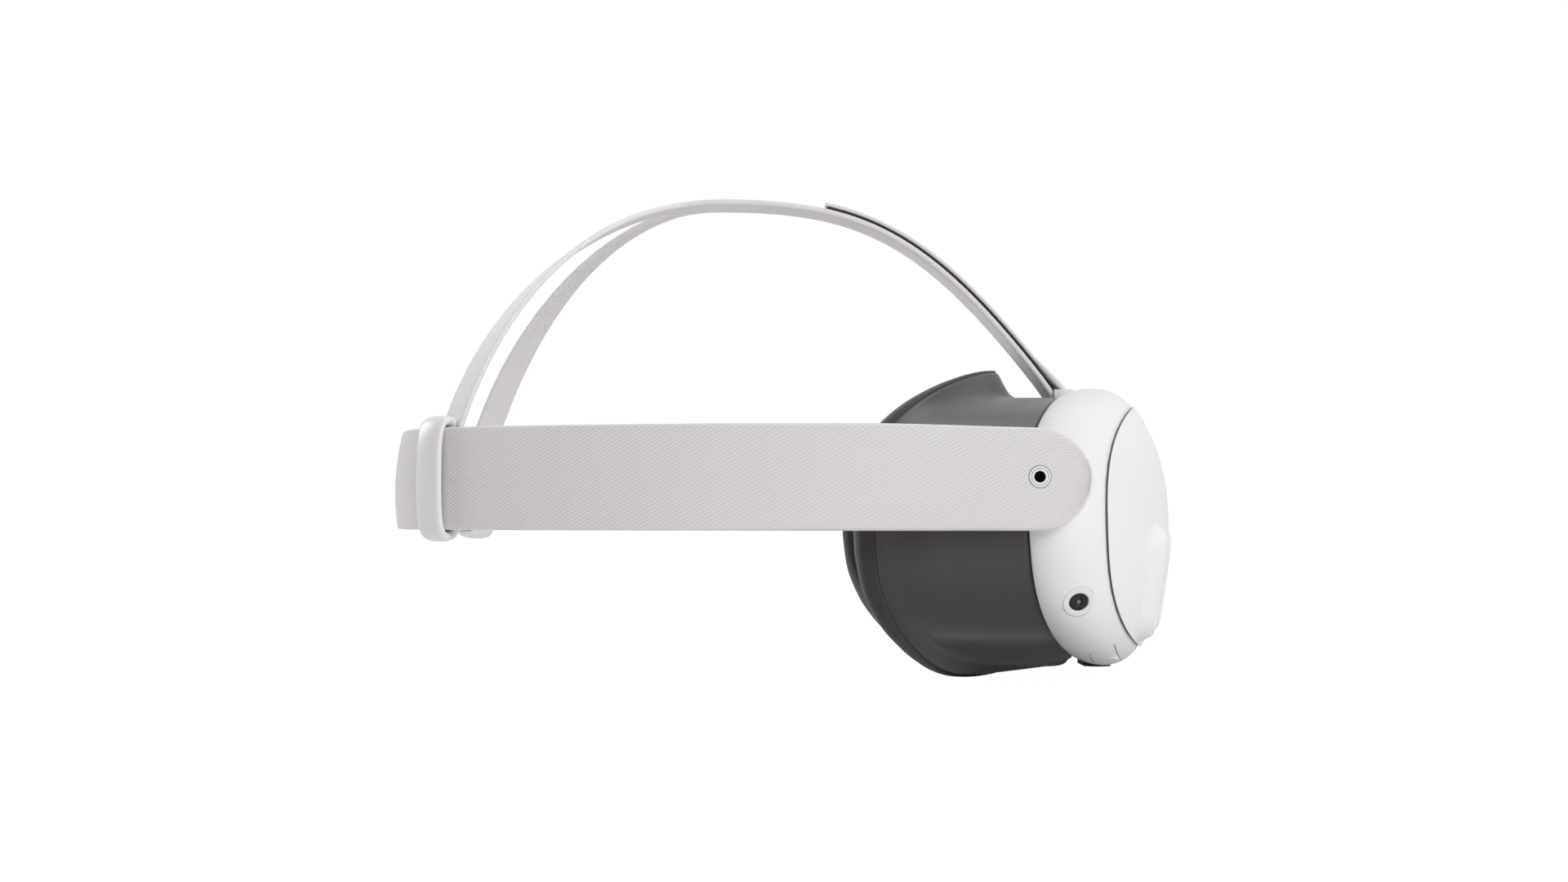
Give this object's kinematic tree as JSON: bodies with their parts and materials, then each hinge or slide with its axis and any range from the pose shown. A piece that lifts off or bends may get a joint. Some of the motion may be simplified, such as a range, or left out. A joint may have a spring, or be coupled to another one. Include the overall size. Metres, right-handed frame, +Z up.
{
  "type": "virtual reality headset",
  "caption": "Stand-alone head-mounted display: domed visor, deep face cushion and a soft fabric harness with side straps, rear sliders and a forked top strap.",
  "frame": {"origin": "middle of the length and width, level with the lowest point of the face cushion", "axes": "+X the way the wearer looks, +Y the wearer's left, +Z up"},
  "size_m": [0.2599, 0.1844, 0.158],
  "materials": {
    "white_shell": "fine moulded satin",
    "white_trim": "smooth satin",
    "slider_plastic": "smooth, softly glossy",
    "sensor_glass": "dark, infrared-clear gloss",
    "camera_black": "matt black with a glass front",
    "gasket_grey": "matt",
    "frame_alloy": "cast, satin",
    "board_green": "solder mask",
    "battery_wrap": "shrink wrapped",
    "inner_plastic": "fine moulded matt",
    "curtain_black": "matt",
    "steel": "ground",
    "socket_metal": "plated",
    "contact_gold": "gold plated",
    "lens_clear": "clear",
    "display_glass": "dark glass",
    "wheel_grey": "matt",
    "face_shell": "soft-touch matt",
    "face_foam": "fine knit over foam",
    "driver_black": "matt",
    "strap_fabric": "fine diagonal twill, elastic",
    "hook_fabric": "short hooks"
  },
  "bodies": {
    "visor": {"visor_shell": "white_shell", "front_cover": "white_shell", "cover_gasket": "gasket_grey", "sensor_frame_right": "white_trim", "sensor_frame_center": "white_trim", "sensor_frame_left": "white_trim", "sensor_window_right": "sensor_glass", "sensor_window_center": "sensor_glass", "sensor_window_left": "sensor_glass", "front_cameras": "camera_black", "side_camera_right": "camera_black", "side_camera_left": "camera_black", "side_camera_bezels": "white_trim", "mid_frame": "frame_alloy", "main_board": "board_green", "heat_sink": "frame_alloy", "battery": "battery_wrap", "fan_housing": "inner_plastic", "guide_rods": "steel", "lens_curtain": "curtain_black", "screw_bearings": "inner_plastic", "hub_right": "white_trim", "hub_left": "white_trim", "hub_washers": "steel", "headphone_socket": "socket_metal", "usb_socket": "socket_metal", "volume_pin": "steel", "dock_pad": "wheel_grey", "dock_contacts": "contact_gold", "strap_bracket": "white_shell", "top_strap_loop": "strap_fabric", "case_screws": "steel"},
    "harness": {"arm_right": "white_trim", "arm_left": "white_trim", "speaker_pods": "white_shell", "speaker_drivers": "driver_black", "side_strap_right": "strap_fabric", "side_strap_left": "strap_fabric", "rear_band": "strap_fabric", "top_strap": "strap_fabric", "top_strap_tab": "strap_fabric", "hook_tape": "hook_fabric", "branch_right": "strap_fabric", "branch_left": "strap_fabric"},
    "slider_right": {"slider_right": "slider_plastic"},
    "slider_left": {"slider_left": "slider_plastic"},
    "face": {"face_frame": "face_shell", "face_sleeve": "curtain_black", "face_cushion": "face_foam"},
    "ipd_drive": {"ipd_wheel": "wheel_grey", "lead_screw": "steel"},
    "carriage_right": {"lens_barrel_right": "inner_plastic", "lens_right": "lens_clear", "display_right": "display_glass"},
    "carriage_left": {"lens_barrel_left": "inner_plastic", "lens_left": "lens_clear", "display_left": "display_glass"},
    "power_button": {"power_button": "white_shell"},
    "volume_rocker": {"volume_rocker": "white_shell"},
    "fan": {"fan_impeller": "inner_plastic"}
  },
  "joints": [
    {"name": "harness_tilt", "type": "hinge", "parent": "visor", "child": "harness", "pos_m": [0.07686, 0, 0.0644], "axis": [0, 1, 0], "range_deg": [-12, 15]},
    {"name": "slider_right_travel", "type": "hinge", "parent": "harness", "child": "slider_right", "pos_m": [-0.058, 0, 0.0644], "axis": [0, 0, 1], "range_deg": [-8, 12]},
    {"name": "slider_left_travel", "type": "hinge", "parent": "harness", "child": "slider_left", "pos_m": [-0.058, 0, 0.0644], "axis": [0, 0, 1], "range_deg": [-12, 8]},
    {"name": "face_depth", "type": "slide", "parent": "visor", "child": "face", "axis": [1, 0, 0], "range_m": [-0.01, 0]},
    {"name": "ipd_wheel_turn", "type": "hinge", "parent": "visor", "child": "ipd_drive", "pos_m": [0.105, 0, 0.0109], "axis": [0, 1, 0], "range_deg": [-292.5, 292.5]},
    {"name": "lens_right_slide", "type": "slide", "parent": "visor", "child": "carriage_right", "axis": [0, 1, 0], "range_m": [-0.00325, 0.00325]},
    {"name": "lens_left_slide", "type": "slide", "parent": "visor", "child": "carriage_left", "axis": [0, 1, 0], "range_m": [-0.00325, 0.00325]},
    {"name": "power_press", "type": "slide", "parent": "visor", "child": "power_button", "axis": [0, -1, 0], "range_m": [0, 0.0008], "stiffness_N_per_m": 600},
    {"name": "volume_rock", "type": "hinge", "parent": "visor", "child": "volume_rocker", "pos_m": [0.10236, -0.04574, 0.01097], "axis": [0.9744, -0.225, 0], "range_deg": [-2, 2], "stiffness_Nm_per_rad": 0.4},
    {"name": "fan_spin", "type": "hinge", "parent": "visor", "child": "fan", "pos_m": [0.1122, 0, 0.0646], "axis": [1, 0, 0], "continuous": true}
  ],
  "couplings": [
    {"joint": "ipd_wheel_turn", "follows": "lens_right_slide", "rad_per_m": -1570.8},
    {"joint": "lens_left_slide", "follows": "lens_right_slide", "ratio": -1}
  ]
}
